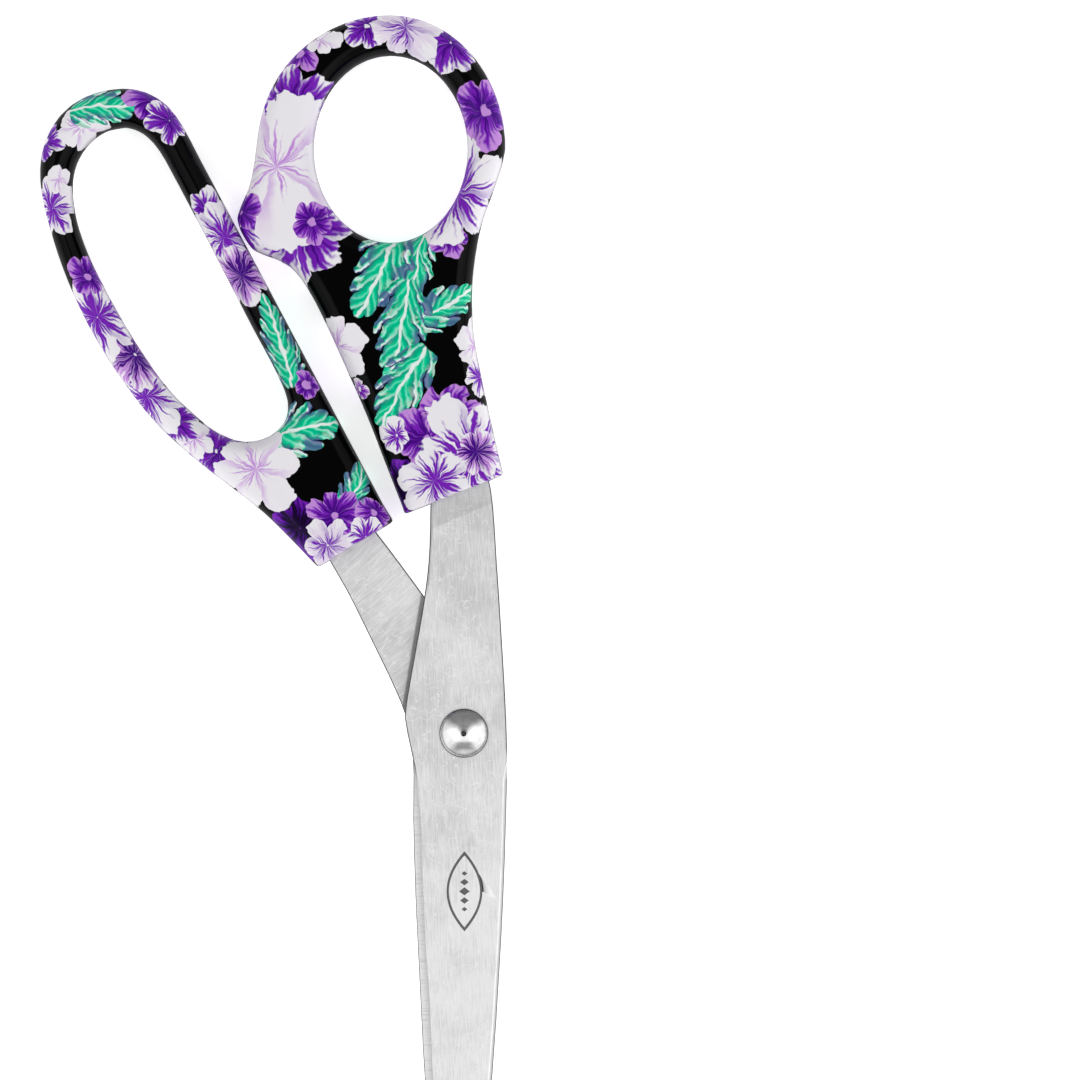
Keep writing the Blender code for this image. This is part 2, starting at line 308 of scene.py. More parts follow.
def flower_group():
    """A flower seen from above: ruffled petals, streaks from the heart, shade between petals."""
    inputs = [
        ("Place", "vector"),
        ("Ruffle", "number"),
        ("Grain", "number"),
        ("Centre", "vector"),
        ("Radius", "number"),
        ("Petals", "number"),
        ("Turn", "number"),
        ("Reach", "number"),
        ("Heart", "number"),
        ("Edge", "colour"),
        ("Body", "colour"),
        ("Deep", "colour"),
    ]
    tree, given = group("flower", inputs, [("Colour", "colour"), ("Cover", "number")])
    offset = vector_maths(tree, "SUBTRACT", given["Place"], given["Centre"])
    x, y, _ = split(offset)
    radius = vector_maths(tree, "LENGTH", offset) / given["Radius"]
    petals = given["Petals"]
    around = maths(tree, "ARCTAN2", y, x) * petals / math.tau + given["Turn"]
    aside = maths(tree, "ABSOLUTE", maths(tree, "FRACT", around) - 0.5) * 2.0
    which = maths(tree, "FLOORED_MODULO", maths(tree, "FLOOR", around), petals)
    chance = maths(tree, "FRACT", maths(tree, "SINE", which * 12.9898 + given["Radius"] * 78.233) * 43.7585)

    length = chance * 0.26 + 0.74
    edge = length * (1.0 - aside**3.0 * 0.30) + (given["Ruffle"] - 0.5) * 0.34
    out = radius / edge
    cover = ramp(out, 1.0, 0.975)

    broad = maths(tree, "SINE", around * 11.0 + given["Ruffle"] * 2.2 + which * 2.3)
    narrow = maths(tree, "SINE", around * 37.0 - radius * 2.0 + given["Ruffle"] * 1.8)
    wave = broad * 0.13 + narrow * 0.10 + (given["Grain"] - 0.5) * 0.14 + (chance - 0.5) * 0.24
    shading = blend(tree, ramp(out + wave * 1.2, 0.98, 0.66), given["Edge"], given["Body"])
    reach = given["Reach"]
    deep = ramp(out + wave * 1.7, reach + 0.26, reach - 0.05)
    shading = blend(tree, deep, shading, given["Deep"])
    turned = maths(tree, "FRACT", around)
    fold = ramp(turned + (given["Grain"] - 0.5) * 0.08, 0.34, 0.0) * ramp(out, 1.15, 0.5)
    shading = blend(tree, fold * 0.62, shading, given["Deep"])
    crease = ramp(turned, 0.965, 1.0) * ramp(out, 1.1, 0.8) * 0.55
    shading = blend(tree, crease, shading, given["Edge"])
    heart = radius * given["Radius"] + (given["Ruffle"] - 0.5) * 2.2
    shading = blend(tree, ramp(heart - given["Heart"], 0.1, -0.1), shading, given["Edge"])
    close_group(tree, {"Colour": shading, "Cover": cover})
    return tree


def leaf_group():
    """A leaf with lobes along both sides, pale veins and dark hollows between them."""
    inputs = [
        ("Place", "vector"),
        ("Ruffle", "number"),
        ("Grain", "number"),
        ("Base", "vector"),
        ("Along", "vector"),
        ("Across", "vector"),
        ("Curl", "number"),
        ("Lobes", "number"),
    ]
    tree, given = group("leaf", inputs, [("Colour", "colour"), ("Cover", "number")])
    offset = vector_maths(tree, "SUBTRACT", given["Place"], given["Base"])
    u = vector_maths(tree, "DOT_PRODUCT", offset, given["Along"])
    v = vector_maths(tree, "DOT_PRODUCT", offset, given["Across"]) + u * (1.0 - u) * given["Curl"]
    side = maths(tree, "ABSOLUTE", v)
    inner = maths(tree, "MAXIMUM", maths(tree, "MINIMUM", u, 0.999), 0.001)
    bulge = maths(tree, "SINE", inner**0.72 * math.pi) ** 0.62
    ripple = given["Ruffle"]
    lobe = maths(tree, "FRACT", u * given["Lobes"] - side * 1.7 + ripple * 0.15)
    edge = bulge * (0.52 + maths(tree, "SINE", lobe * 2.5) * 0.48)
    cover = ramp(side - edge, 0.0, -0.03) * ramp(u, 0.0, 0.02) * ramp(u, 1.0, 0.98)

    shading = colour_ramp(tree, lobe + (given["Grain"] - 0.5) * 0.12, LOBE_COLOURS)
    outer = ramp(side, 0.20, 0.55)
    shading = blend(tree, ramp(ripple, 0.47, 0.53) * outer * 0.85, shading, SLATE)
    shading = blend(tree, ramp(ripple, 0.45, 0.37) * outer * 0.5, shading, FROST)
    shading = blend(tree, (1.0 - outer) * 0.6, shading, JADE)
    rib = ramp(side, 0.075, 0.03)
    shading = blend(tree, rib, shading, FROST)
    close_group(tree, {"Colour": shading, "Cover": cover})
    return tree


FLOWER = flower_group()
LEAF = leaf_group()


def lay(tree, below, motif, values):
    """Prints one motif over the colours below it."""
    node = tree.nodes.new("ShaderNodeGroup")
    node.node_tree = motif
    for label, value in values.items():
        feed(tree, node.inputs[label], value)
    return blend(tree, Field(tree, node.outputs["Cover"]), below, Field(tree, node.outputs["Colour"]))


def lay_flower(tree, below, sheet, kind, x, y, radius, petals, turn=0.0):
    edge, body, deep, reach, heart = FLOWER_KINDS[kind]
    values = {
        **sheet,
        "Centre": (x, y, 0.0),
        "Radius": radius,
        "Petals": petals,
        "Turn": turn,
        "Reach": reach,
        "Heart": heart,
        "Edge": edge,
        "Body": body,
        "Deep": deep,
    }
    return lay(tree, below, FLOWER, values)


def lay_leaf(tree, below, sheet, x, y, tip_x, tip_y, width, curl=0.0, lobes=5.0):
    run = Vector((tip_x - x, tip_y - y, 0.0))
    along = run / run.length_squared
    across = Vector((-run.y, run.x, 0.0)).normalized() * 2 / width
    values = {
        **sheet,
        "Base": (x, y, 0.0),
        "Along": along,
        "Across": across,
        "Curl": curl,
        "Lobes": lobes,
    }
    return lay(tree, below, LEAF, values)


# How far the print's motifs are pushed about, how coarse that wobble is, and how fast it changes
# from the top of a handle to its underside
DRIFT = 2.4
DRIFT_SCALE = 0.30
DRIFT_WITH_DEPTH = 0.5

# How coarse the petals' ruffles and the finer grain in the colours are
RUFFLE_SCALE = 0.38
GRAIN_SCALE = 1.3


def wrapped_place(tree):
    """The place on a flat sheet of print that is wrapped round the shoulders and down the sides."""
    place, normal = place_mm(tree)
    nx, ny, nz = split(normal)
    rise = maths(tree, "ABSOLUTE", nz)
    lean = maths(tree, "MAXIMUM", maths(tree, "SQRT", maths(tree, "MAXIMUM", 1.0 - rise * rise, 0.0)), 0.02)
    slope = maths(tree, "ARCCOSINE", maths(tree, "MINIMUM", rise, 1.0))
    stretch = (slope - lean) / lean * SHOULDER_RADIUS
    x, y, z = split(place)
    low, high = box_mm("thumb_handle")
    middle = (low.z + high.z) / 2
    inward = maths(tree, "ABSOLUTE", z - middle) * -1.0 + (high.z - middle - SHOULDER_RADIUS)
    upright = ramp(rise, 0.08, 0.02)
    stretch = stretch + maths(tree, "MAXIMUM", inward, inward * upright) / lean
    return combine(tree, x + nx * stretch, y + ny * stretch, (z - high.z) * DRIFT_WITH_DEPTH), rise


def printed_plastic(name, motifs):
    """Black moulded plastic with a floral transfer print under clear lacquer."""
    made, tree, shader = new_material(name)
    sheet, rise = wrapped_place(tree)
    cloud = noise(sheet, DRIFT_SCALE, colour=True)
    drift = vector_maths(tree, "SUBTRACT", cloud, (0.5, 0.5, 0.5))
    sheet = vector_maths(tree, "ADD", sheet, vector_maths(tree, "SCALE", drift, DRIFT))
    x, y, _ = split(sheet)
    ruffle = noise(sheet, RUFFLE_SCALE)
    grain = noise(sheet, GRAIN_SCALE)
    sheet = {"Place": combine(tree, x, y), "Ruffle": ruffle, "Grain": grain}
    shading = BLACK
    for motif, *values in motifs:
        if motif == "leaf":
            shading = lay_leaf(tree, shading, sheet, *values)
        else:
            shading = lay_flower(tree, shading, sheet, motif, *values)
    # painted shade: the sides are darkened where they turn away from the top and would get less light;
    # the ink is also stretched thin round the sides, so the black plastic shows through
    shading = blend(tree, ramp(rise, 0.42, 0.04) * 0.5, shading, SIDE_SHADE)
    feed(tree, shader.inputs["Base Color"], shading)
    shader.inputs["Roughness"].default_value = 0.35
    shader.inputs["Specular IOR Level"].default_value = 0.0
    shader.inputs["Coat Weight"].default_value = 0.22
    shader.inputs["Coat Roughness"].default_value = 0.04
    shader.inputs["Coat IOR"].default_value = 1.4
    bump(tree, shader, noise(place_mm(tree)[0], 0.5, 1.0), 0.03 * MM, 1.0, ("Coat Normal",))
    return made


THUMB_PRINT = [
    # the shank's leaves
    ("leaf", -7.4, 93.4, -9.2, 79.0, 7.4, 0.5, 3.0),
    ("leaf", -12.2, 94.0, -20.0, 76.4, 11.0, -0.5, 3.5),
    ("leaf", -11.0, 75.6, 3.0, 82.6, 8.4, 0.6, 3.5),
    ("leaf", -10.2, 84.0, -14.0, 64.6, 10.4, -0.4, 4.0),
    ("leaf", -6.6, 71.4, -15.6, 55.0, 9.6, 0.5, 3.5),
    # the shank's left and right edges
    ("white", -24.0, 71.4, 7.4, 5, 0.2),
    ("heart", -19.4, 63.2, 2.6, 4, 0.4),
    ("white", 3.2, 71.6, 5.6, 5, 0.35),
    ("lily", 4.2, 66.0, 5.2, 5, 0.1),
    # the mouth
    ("shade", -12.0, 45.0, 7.0, 5, 0.3),
    ("purple", -7.2, 54.6, 6.8, 5, 0.8),
    ("lily", -12.8, 55.0, 3.8, 4, 0.55),
    ("purple", -2.4, 58.8, 6.8, 5, 0.45),
    ("lily", 1.2, 51.0, 12.4, 7, 0.2),
    ("lily", -5.2, 46.4, 7.6, 6, 0.7),
    ("peony", 2.6, 51.8, 5.2, 6, 0.35),
    # the ring
    ("purple", -2.6, 91.4, 4.2, 4, 0.3),
    ("ruffled", -30.2, 93.0, 12.0, 6, 0.25),
    ("ruffled", -42.6, 95.4, 10.2, 5, 0.5),
    ("purple", -30.6, 126.0, 4.6, 5, 0.1),
    ("white", -26.0, 127.6, 3.6, 4, 0.4),
    ("ruffled", -31.4, 114.6, 11.0, 6, 0.8),
    ("white", -34.4, 104.6, 17.0, 5, 0.55),
    ("purple", -41.2, 96.4, 4.8, 4, 0.2),
    ("purple", -28.0, 94.2, 4.6, 5, 0.6),
    ("purple", 3.6, 114.8, 7.6, 5, 0.6),
    ("lily", -2.2, 100.2, 12.4, 6, 0.2),
    ("ruffled", -2.4, 127.8, 7.8, 5, 0.15),
    ("ruffled", -18.0, 130.2, 5.4, 5, 0.5),
    ("pale", -10.8, 130.2, 7.8, 6, 0.35),
]

FINGER_PRINT = [
    # the shank's leaves and flowers
    ("leaf", -22.8, 40.4, -17.2, 51.0, 6.6, 0.5, 3.0),
    ("leaf", -35.8, 54.0, -22.2, 57.8, 10.4, -0.4, 3.0),
    ("leaf", -31.8, 63.6, -36.8, 81.0, 8.4, 0.5, 5.0),
    ("purple", -28.8, 64.2, 3.2, 4, 0.3),
    ("shade", -30.0, 37.6, 7.4, 5, 0.3),
    ("purple", -23.6, 40.0, 6.2, 7, 0.45),
    ("purple", -16.4, 40.4, 4.0, 5, 0.2),
    ("pale", -24.8, 34.4, 6.4, 6, 0.4),
    ("lily", -17.8, 36.2, 4.8, 5, 0.7),
    ("ruffled", -45.6, 51.8, 8.6, 6, 0.2),
    ("white", -38.4, 48.6, 9.6, 6, 0.3),
    ("white", -50.0, 53.8, 5.2, 5, 0.6),
    # the left arm
    ("ruffled", -53.4, 57.8, 6.4, 5, 0.1),
    ("lily", -58.4, 61.8, 8.2, 6, 0.35),
    ("peony", -60.4, 69.8, 8.0, 6, 0.8),
    ("lily", -67.6, 76.4, 9.6, 5, 0.65),
    ("purple", -69.0, 84.6, 5.0, 5, 0.3),
    ("lily", -76.0, 97.0, 6.8, 5, 0.25),
    ("white", -74.4, 101.8, 3.2, 4, 0.1),
    ("ruffled", -78.0, 109.6, 5.0, 5, 0.55),
    # the top
    ("white", -70.4, 112.0, 5.8, 5, 0.45),
    ("leaf", -73.0, 114.8, -59.6, 115.6, 8.4, -0.5, 4.0),
    ("purple", -57.2, 117.0, 6.4, 5, 0.15),
    ("ruffled", -54.2, 113.2, 5.4, 5, 0.75),
    # the right arm
    ("ruffled", -46.8, 96.0, 5.6, 5, 0.35),
    ("lily", -44.2, 91.6, 8.4, 5, 0.15),
    ("peony", -41.2, 84.8, 7.4, 6, 0.6),
]


# ---------------------------------------------------------------------------------------------
# Steel
# ---------------------------------------------------------------------------------------------

STEEL_DARK = colour("d4d4d5")
STEEL_LIGHT = colour("f8f8f8")
STEEL_BRIGHT = colour("fbfbfb")
# the dark colour painted as shade on the blades' edge lands and the upper blade's lower edge
EDGE_SHADE_COLOUR = colour("5a5a5c")
STEEL_SIDE = colour("c4c4c6")
# rough steel, also standing in for painted shade by the handle's mouth and along the left edge
ROUGH_SHADED_STEEL = colour("8c8c8e")
STRIP_DARK = colour("ececee")
STRIP_LIGHT = colour("ffffff")
MARK_COLOUR = colour("343436")
# the colour of the painted shadow line on the lower blade's tang
PAINTED_SHADOW_COLOUR = colour("3c3c3e")
# the colour of the painted shade in the rivet's punch mark and along its rim
RIVET_SHADE_COLOUR = colour("4a4a4c")

# The strip beside the lower blade's cutting edge, which runs along x = EDGE_X + EDGE_BOW * y * y
EDGE_X = -9.65
EDGE_BOW = 0.00053
STRIP_WIDTH = 1.8

# The painted shadow line across the lower blade's tang, where the closed upper blade casts its shadow,
# from its upper end to its lower one
SHADOW_LINE_START = (-7.4, 25.2)
SHADOW_LINE_END = (-10.9, 4.3)

# The rough, partly shade-painted parts of the upper blade's shank: above y = ROUGH_SHADE_Y +
# ROUGH_SHADE_SLOPE * x, by the handle's mouth, and left of x = ROUGH_SHADE_X + ROUGH_SHADE_LEAN * y, along
# the left edge
ROUGH_SHADE_Y = 40.3
ROUGH_SHADE_SLOPE = 0.43
ROUGH_SHADE_X = -8.25
ROUGH_SHADE_LEAN = 0.0675

# How far up its bevel the upper blade's edge is painted dark as shade
EDGE_SHADE_HEIGHT = 0.9


def edge_strip(place):
    """1 on the lower blade in the strip beside its curved cutting edge."""
    x, y, _ = split(place)
    strip = ramp(x - y * y * EDGE_BOW - EDGE_X, STRIP_WIDTH + 0.05, STRIP_WIDTH - 0.05)
    return strip * ramp(y, -5.0, -9.0)


def mark_shade(place):
    """1 in the grooves of the upper blade's mark, which lie just below its top face."""
    x, y, z = split(place)
    tree = place.tree
    top = box_mm("thumb_blade")[1].z
    aside = maths(tree, "ABSOLUTE", x - MARK_CENTRE[0])
    away = maths(tree, "ABSOLUTE", y - MARK_CENTRE[1])
    below = ramp(z, top - MARK_DEPTH * 0.35, top - MARK_DEPTH * 0.6) * ramp(z, top - 0.3, top - 0.2)
    shade = below * ramp(aside, MARK_HALF_WIDTH + MARK_MARGIN, MARK_HALF_WIDTH)
    return shade * ramp(away, MARK_HALF_LENGTH + MARK_MARGIN, MARK_HALF_LENGTH)


def hair_lines(place, scale, width):
    """1 along thin curved lines, where a cloudy field crosses its middle."""
    level = maths(place.tree, "ABSOLUTE", noise(place, scale) - 0.5)
    return ramp(level, width, width * 0.25)


def painted_shadow_line(place):
    """1 along a painted shadow: the dark line that the closed upper blade's left edge casts on the lower
    one's tang.
    """
    x, y, _ = split(place)
    start = Vector(SHADOW_LINE_START)
    run = (Vector(SHADOW_LINE_END) - start).normalized()
    aside = (x - start.x) * run.y - (y - start.y) * run.x
    return ramp(aside, 0.85, 0.45) * ramp(aside, -0.9, -0.5) * ramp(y, 2.0, 5.0) * ramp(y, 27.0, 25.0)


def spine_shade_fade(place):
    """1 along the upper blade's spine beyond the pivot, where the painted shade on the edge lands is mostly
    left off.
    """
    x, y, _ = split(place)
    return ramp(x, 1.0, -1.0) * ramp(y, -4.0, -12.0)


def ground_steel(name, grain_angle, finish_details, edge_shade_fade=None):
    """Satin steel, with grinding lines at an angle from the length, clouds and hair scratches,
    painted shade on its edge lands and painted light towards the tips.
    """
    made, tree, shader = new_material(name)
    place, normal = place_mm(tree)
    angle = math.radians(grain_angle)
    across = vector_maths(tree, "DOT_PRODUCT", place, (math.cos(angle), math.sin(angle), 0.0))
    along = vector_maths(tree, "DOT_PRODUCT", place, (-math.sin(angle), math.cos(angle), 0.0))
    _, y, z = split(place)
    fine = noise(combine(tree, across * 4.0, along * 0.22, z), 1.0, 3.0, 0.7)
    cloud = noise(place, 0.10, 3.0, 0.6)
    patch = noise(place, 0.16)
    scratch = hair_lines(place, 0.42, 0.018) * ramp(patch, 0.44, 0.54)
    scratch = scratch + hair_lines(place, 0.23, 0.009) * ramp(patch, 0.56, 0.46)
    # painted light: the steel is made lighter towards the blades' tips
    tone = fine * 0.55 + cloud * 0.45 + ramp(y, 20.0, -60.0) * 0.10
    shading = blend(tree, ramp(tone, 0.32, 0.70), STEEL_DARK, STEEL_LIGHT)
    shading = blend(tree, scratch * 0.65, shading, STEEL_BRIGHT)
    flat = maths(tree, "ABSOLUTE", split(normal)[2])
    shading = blend(tree, ramp(flat, 0.50, 0.40), shading, STEEL_SIDE)
    shading = finish_details(tree, place, shading)
    # painted shade: the tilted lands between top and sides are darkened like a dark reflection; less on the
    # spine
    edge = ramp(flat, 0.76, 0.73) * ramp(flat, 0.40, 0.50)
    if edge_shade_fade:
        edge = edge * (1.0 - edge_shade_fade(place) * 0.85)
    shading = blend(tree, edge, shading, EDGE_SHADE_COLOUR)
    feed(tree, shader.inputs["Base Color"], shading)
    feed(tree, shader.inputs["Roughness"], fine * 0.08 + cloud * 0.06 + 0.42)
    shader.inputs["Metallic"].default_value = 1.0
    bump(tree, shader, fine + scratch * 2.0, 0.005 * MM, 0.8)
    return made


def tang_rough_shade(place):
    """1 where the upper blade's shank is rough and painted with shade: fully on its left edge, for a shaded
    bevel, less by the handle's mouth, for the handle's contact shadow.
    """
    x, y, _ = split(place)
    mouth = ramp(y - x * ROUGH_SHADE_SLOPE, ROUGH_SHADE_Y - 0.3, ROUGH_SHADE_Y + 0.3)
    left = ramp(x - y * ROUGH_SHADE_LEAN, ROUGH_SHADE_X + 0.1, ROUGH_SHADE_X - 0.1) * ramp(y, 25.0, 28.0)
    return maths(place.tree, "MAXIMUM", mouth * 0.6, left)


def upper_details(tree, place, shading):
    """A rough finish with painted shade by the handle on the top face, dark grooves in the mark, and a
    painted dark lower edge.
    """
    z = split(place)[2]
    low, high = box_mm("thumb_blade")
    on_top = ramp(z, high.z - 0.05, high.z - 0.01)
    # partly a rougher finish, partly painted shade: the handle's contact shadow and a shaded bevel on the
    # left edge
    shading = blend(tree, tang_rough_shade(place) * on_top * 0.42, shading, ROUGH_SHADED_STEEL)
    shading = blend(tree, mark_shade(place) * 0.85, shading, MARK_COLOUR)
    # painted shade: the lowest part of the upper blade's sides is darkened like the dark reflection on its
    # bevel
    lower_edge_shade_top = low.z + EDGE_SHADE_HEIGHT
    lower_edge_shade = ramp(z, lower_edge_shade_top + 0.1, lower_edge_shade_top - 0.1) * ramp(z, low.z + 0.02, low.z + 0.05)
    return blend(tree, lower_edge_shade, shading, EDGE_SHADE_COLOUR)


def lower_details(tree, place, shading):
    """A brighter strip beside the cutting edge, ground across its length, and a painted shadow line on the
    tang.
    """
    x, y, z = split(place)
    top = box_mm("finger_blade")[1].z
    ticks = noise(combine(tree, x * 0.3, y * 3.0, z), 1.0, 2.0, 0.7)
    strip = blend(tree, ramp(ticks, 0.30, 0.52), STRIP_DARK, STRIP_LIGHT)
    shading = blend(tree, edge_strip(place), shading, strip)
    # painted shadow: the dark band that the closed upper blade casts on the tang
    shadow_line = painted_shadow_line(place) * ramp(z, top - 0.15, top - 0.05)
    return blend(tree, shadow_line * 0.6, shading, PAINTED_SHADOW_COLOUR)


def rivet_painted_shade(tree, place, shading):
    """Painted shade in the punch mark, and a painted dark reflection along the head's rim."""
    x, y, _ = split(place)
    radius = vector_maths(tree, "LENGTH", combine(tree, x, y))
    rim = box_mm("pivot_rivet")[1].x
    punch = ramp(radius, PUNCH_RADIUS + 0.07, PUNCH_RADIUS - 0.18)
    # painted shade in the punch mark's hollow, and a painted dark reflection round the head's rim
    painted_dark = maths(tree, "MAXIMUM", punch, ramp(radius, rim - 0.26, rim - 0.10))
    return blend(tree, painted_dark, shading, RIVET_SHADE_COLOUR)


def plain_metal(name, light, dark, roughness, grain=1.6, finish_details=None):
    """A small turned or stamped piece, with faint mottling."""
    made, tree, shader = new_material(name)
    place, _ = place_mm(tree)
    mottle = noise(place, grain, 3.0, 0.6)
    shading = blend(tree, ramp(mottle, 0.35, 0.65), dark, light)
    if finish_details:
        shading = finish_details(tree, place, shading)
    feed(tree, shader.inputs["Base Color"], shading)
    feed(tree, shader.inputs["Roughness"], mottle * 0.08 + roughness)
    shader.inputs["Metallic"].default_value = 1.0
    bump(tree, shader, mottle, 0.004 * MM, 0.5)
    return made


# ---------------------------------------------------------------------------------------------
# Pieces
# ---------------------------------------------------------------------------------------------


def add_piece(mesh, name, body, node, material):
    """Puts a finished mesh in the scene in place of a CAD node."""
    mesh.name = name
    mesh.materials.clear()
    mesh.materials.append(material)
    piece = bpy.data.objects.new(name, mesh)
    bpy.context.scene.collection.objects.link(piece)
    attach(piece, body)
    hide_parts(node)
    return piece


def finished(source_mesh, prepare):
    """The mesh that comes out of the modifiers that prepare puts on a scratch object."""
    scratch = bpy.data.objects.new("scratch", source_mesh)
    bpy.context.scene.collection.objects.link(scratch)
    prepare(scratch)
    graph = bpy.context.evaluated_depsgraph_get()
    mesh = bpy.data.meshes.new_from_object(scratch.evaluated_get(graph))
    bpy.data.objects.remove(scratch)
    return mesh


def moulded_skin(node):
    """The handle's surface as one fine, evenly meshed skin with its edges softened."""

    def soften(scratch):
        remesh = scratch.modifiers.new("remesh", "REMESH")
        remesh.mode = "VOXEL"
        remesh.voxel_size = HANDLE_VOXEL
        remesh.use_smooth_shade = True
        smooth = scratch.modifiers.new("smooth", "SMOOTH")
        smooth.factor = 0.5
        smooth.iterations = HANDLE_SMOOTHING

    mesh = finished(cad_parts[node].data.copy(), soften)
    mesh.shade_smooth()
    return mesh


def clean_copy(node):
    """A CAD node's mesh with its flat regions as single faces again."""
    bm = bmesh.new()
    bm.from_mesh(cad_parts[node].data)
    bmesh.ops.remove_doubles(bm, verts=bm.verts, dist=0.001 * MM)
    bmesh.ops.dissolve_limit(bm, angle_limit=math.radians(0.5), verts=bm.verts, edges=bm.edges)
    mesh = bpy.data.meshes.new(node)
    bm.to_mesh(mesh)
    bm.free()
    return mesh


def pointed_oval(half_width, half_length, steps=28):
    """A closed outline of two arcs that meet in points above and below."""
    side = []
    for k in range(steps):
        y = half_length * (2 * k / steps - 1)
        side.append(Vector((half_width * (1 - (y / half_length) ** 2), y)))
    return side + [Vector((-p.x, -p.y)) for p in side]


def diamond(y, half_width, half_length):
    corners = ((half_width, y), (0, y + half_length), (-half_width, y), (0, y - half_length))
    return [Vector(corner) for corner in corners]


def groove(bm, rings, bottom, top):
    """A solid prism inside one outline, or a walled one between an outer outline and an inner one."""
    centre = Vector(MARK_CENTRE)
    layers = []
    for z in (bottom, top):
        layer = []
        for outline in rings:
            layer.append([bm.verts.new((centre.x + p.x, centre.y + p.y, z)) for p in outline])
        layers.append(layer)
    for low, high in zip(*layers):
        for k in range(len(low)):
            bm.faces.new((low[k - 1], low[k], high[k], high[k - 1]))
    for layer in layers:
        if len(rings) == 1:
            bm.faces.new(layer[0])
            continue
        outer, inner = layer
        for k in range(len(outer)):
            bm.faces.new((outer[k - 1], outer[k], inner[k], inner[k - 1]))


def engraver():
    """The tool that cuts the mark's grooves into the upper blade's top face."""
    top = box_mm("thumb_blade")[1].z
    bm = bmesh.new()
    outer = pointed_oval(MARK_HALF_WIDTH, MARK_HALF_LENGTH)
    inner = pointed_oval(MARK_HALF_WIDTH - MARK_LINE, MARK_HALF_LENGTH - MARK_LINE * 1.8)
    groove(bm, [outer, inner], top - MARK_DEPTH, top + 1)
    for y, size in DIAMONDS:
        groove(bm, [diamond(y, size, size * 0.75)], top - MARK_DEPTH, top + 1)
    bmesh.ops.recalc_face_normals(bm, faces=bm.faces)
    bmesh.ops.scale(bm, vec=(MM, MM, MM), verts=bm.verts)
    mesh = bpy.data.meshes.new("engraver")
    bm.to_mesh(mesh)
    bm.free()
    return mesh


def ground_blade(node, tool_mesh=None):
    """The blade with a narrow land on each sharp edge, and its mark cut in."""
    tool = None
    if tool_mesh:
        tool = bpy.data.objects.new("tool", tool_mesh)
        bpy.context.scene.collection.objects.link(tool)

    def prepare(scratch):
        bevel = scratch.modifiers.new("bevel", "BEVEL")
        bevel.width = LAND
        bevel.segments = 1
        bevel.use_clamp_overlap = False
        bevel.limit_method = "ANGLE"
        bevel.angle_limit = math.radians(35)
        if tool:
            cut = scratch.modifiers.new("cut", "BOOLEAN")
            cut.operation = "DIFFERENCE"
            cut.object = tool

    mesh = finished(clean_copy(node), prepare)
    if tool:
        bpy.data.objects.remove(tool)
    mesh.shade_smooth()
    mesh.set_sharp_from_angle(angle=math.radians(12))
    return mesh


def lathe(profile, segments=128, wave=0.0, lobes=0):
    """A solid turned about the pivot axis, from a profile in millimetres."""
    bm = bmesh.new()
    rings = []
    for radius, z in profile:
        if radius == 0:
            rings.append([bm.verts.new((0, 0, z))])
            continue
        ring = []
        for k in range(segments):
            angle = math.tau * k / segments
            lift = wave * math.cos(lobes * angle)
            ring.append(bm.verts.new((radius * math.cos(angle), radius * math.sin(angle), z + lift)))
        rings.append(ring)
    for low, high in zip(rings, rings[1:]):
        for k in range(segments):
            corners = [low[k % len(low)], low[(k + 1) % len(low)]]
            corners += [high[(k + 1) % len(high)], high[k % len(high)]]
            bm.faces.new(list(dict.fromkeys(corners)))
    bmesh.ops.remove_doubles(bm, verts=bm.verts, dist=1e-5)
    bmesh.ops.recalc_face_normals(bm, faces=bm.faces)
    bmesh.ops.scale(bm, vec=(MM, MM, MM), verts=bm.verts)
    mesh = bpy.data.meshes.new("lathe")
    bm.to_mesh(mesh)
    bm.free()
    mesh.shade_smooth()
    mesh.set_sharp_from_angle(angle=math.radians(40))
    return mesh


def rivet_mesh():
    """A shallow dome with a rolled rim and a punch mark at its crown, on a shank with a flat tail."""
    high = box_mm("pivot_rivet")[1]
    head_radius = high.x
    seat = box_mm("thumb_blade")[1].z + 0.1
    rise = high.z - seat - RIM_HEIGHT
    dome_radius = (head_radius**2 + rise**2) / (2 * rise)
    centre = high.z - dome_radius
    start = math.asin(PUNCH_RADIUS / dome_radius)
    end = math.asin(head_radius / dome_radius)
    lip = centre + dome_radius * math.cos(start)
    profile = [
        (0, lip - PUNCH_DEPTH),
        (PUNCH_RADIUS * 0.45, lip - PUNCH_DEPTH * 0.9),
        (PUNCH_RADIUS * 0.85, lip - PUNCH_DEPTH * 0.3),
    ]
    steps = 28
    for k in range(steps):
        angle = start + (end - start) * k / (steps - 1) * 0.985
        profile.append((dome_radius * math.sin(angle), centre + dome_radius * math.cos(angle)))
    profile += [
        (head_radius, seat + RIM_HEIGHT * 0.65),
        (head_radius, seat + 0.08),
        (head_radius - 0.08, seat),
        (SHANK_RADIUS, seat),
        (SHANK_RADIUS, TAIL_TOP),
        (TAIL_RADIUS - 0.1, TAIL_TOP),
        (TAIL_RADIUS, TAIL_TOP - 0.1),
        (TAIL_RADIUS, 0.25),
        (TAIL_RADIUS - 0.1, 0.1),
        (TAIL_RADIUS - 0.3, 0.0),
        (0, 0.0),
    ]
    return lathe(profile)


def ring_mesh(node, edge, wave=0.0, lobes=0):
    """A ring in the place of a CAD node, with its edges broken and, for a spring washer, a wave."""
    low, high = box_mm(node)
    inner = BORE_RADIUS
    outer = high.x
    bottom = low.z + wave
    top = high.z - wave
    profile = [
        (inner, bottom + edge),
        (inner, top - edge),
        (inner + edge, top),
        (outer - edge, top),
        (outer, top - edge),
        (outer, bottom + edge),
        (outer - edge, bottom),
        (inner + edge, bottom),
        (inner, bottom + edge),
    ]
    return lathe(profile, 96, wave, lobes)


